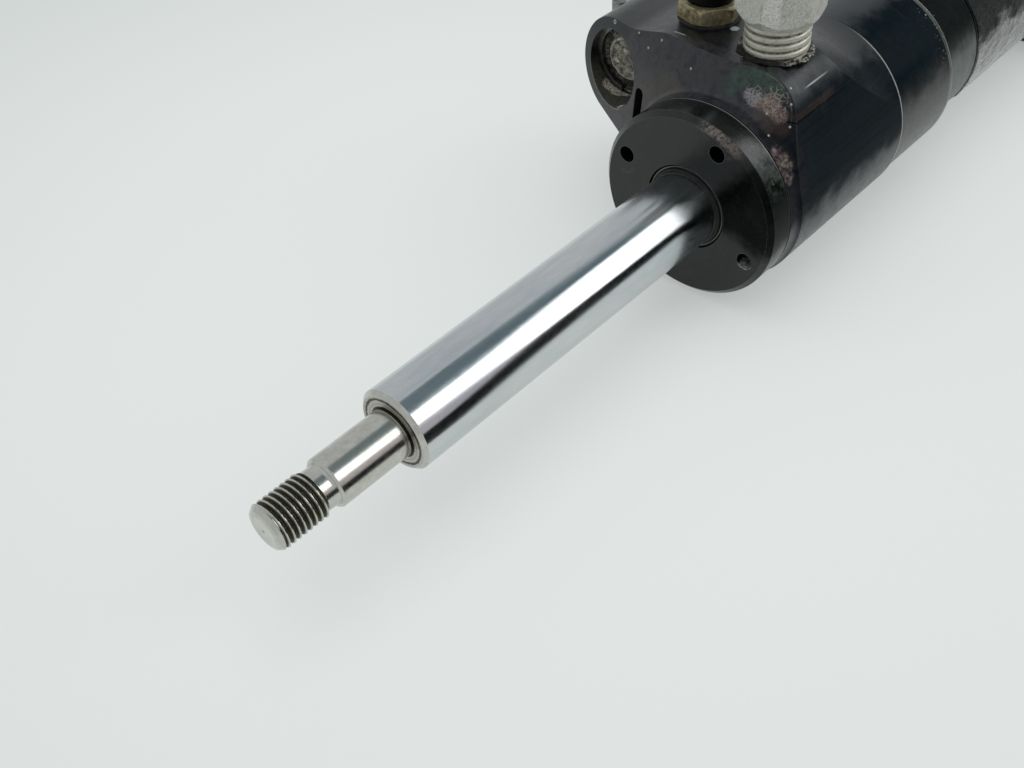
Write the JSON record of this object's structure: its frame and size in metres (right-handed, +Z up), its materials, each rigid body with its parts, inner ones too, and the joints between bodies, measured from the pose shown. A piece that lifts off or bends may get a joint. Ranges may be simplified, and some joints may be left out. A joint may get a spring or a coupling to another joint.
{
  "type": "pneumatic cylinder",
  "caption": "Single-rod cylinder with a chromed rod and threaded end, pin-spanner gland, head block with side lug valve, two ports and fittings, barrel and rear eye.",
  "frame": {"origin": "centre of the rear eye's bore, on the cylinder's axis", "axes": "+X along the rod towards its threaded tip, +Z up through the flat port face, +Y away from the side lug, along the rear eye's bore"},
  "size_m": [0.3407, 0.0783, 0.0753],
  "materials": {
    "chrome_rod": "hard chrome, ground and polished, with a bare turned end",
    "black_oxide": "black oxide over turned steel, satin",
    "black_oxide_head": "black oxide, satin, worn grey on edges",
    "black_oxide_tube": "black oxide, satin, scuffed",
    "bare_steel": "bare machined steel",
    "spring_steel": "oiled spring steel",
    "grey_screw": "dull grey plated steel",
    "plated_adapter": "rough pale grey plating, slightly dirty",
    "fitting_brass": "dull tarnished brass",
    "dull_washer": "dark dirty steel",
    "lug_plug_metal": "rough, corroded grey metal",
    "sealant": "dry crumbled thread sealant with dirt",
    "clear_tape": "clear film, wrinkled",
    "black_polymer": "black moulded polymer",
    "nitrile": "black rubber",
    "seal_rubber": "dark polyurethane",
    "ptfe": "off-white filled polymer",
    "guide_bronze": "bronze-filled bearing strip",
    "bush_bronze": "sintered bronze",
    "piston_alloy": "machined aluminium"
  },
  "bodies": {
    "barrel": {"gland": "black_oxide", "wiper_case": "bare_steel", "wiper_lip": "nitrile", "head_block": "black_oxide_head", "collar_ring": "black_oxide_head", "barrel_tube": "black_oxide_tube", "tape_band": "clear_tape", "port_adapter": "plated_adapter", "thread_sealant": "sealant", "fitting_hex": "fitting_brass", "fitting_sleeve": "black_polymer", "fitting_washer": "dull_washer", "lug_snap_ring": "spring_steel", "lug_plug": "lug_plug_metal", "bleed_screw": "grey_screw", "rod_seal": "seal_rubber", "backup_ring": "ptfe", "guide_ring": "guide_bronze", "gland_orings": "nitrile", "tube_oring": "nitrile", "rear_cap": "black_oxide_head", "rear_cap_oring": "nitrile", "eye_bush": "bush_bronze", "fitting_grab_ring": "bare_steel", "fitting_tube_seal": "nitrile", "plug_oring": "nitrile", "valve_spring": "spring_steel", "valve_seat": "bush_bronze"},
    "piston_rings": {"piston_seal": "seal_rubber", "wear_rings": "ptfe"},
    "rod": {"piston_rod": "chrome_rod", "piston": "piston_alloy", "piston_nut": "bare_steel", "piston_oring": "nitrile"},
    "release_collar": {"release_collar": "black_polymer"},
    "poppet": {"valve_poppet": "bare_steel"}
  },
  "joints": [
    {"name": "rod_slide", "type": "slide", "parent": "barrel", "child": "piston_rings", "axis": [1, 0, 0], "range_m": [-0.085, 0.015]},
    {"name": "rod_spin", "type": "hinge", "parent": "piston_rings", "child": "rod", "pos_m": [0.2, 0, 0], "axis": [1, 0, 0], "continuous": true},
    {"name": "collar_press", "type": "slide", "parent": "barrel", "child": "release_collar", "axis": [0, 0, -1], "range_m": [0, 0.0012], "stiffness_N_per_m": 1500, "springref_m": -0.0008},
    {"name": "poppet_lift", "type": "slide", "parent": "barrel", "child": "poppet", "axis": [1, 0, 0], "range_m": [0, 0.0025], "stiffness_N_per_m": 1200, "springref_m": -0.004, "deforming": ["valve_spring"]}
  ]
}
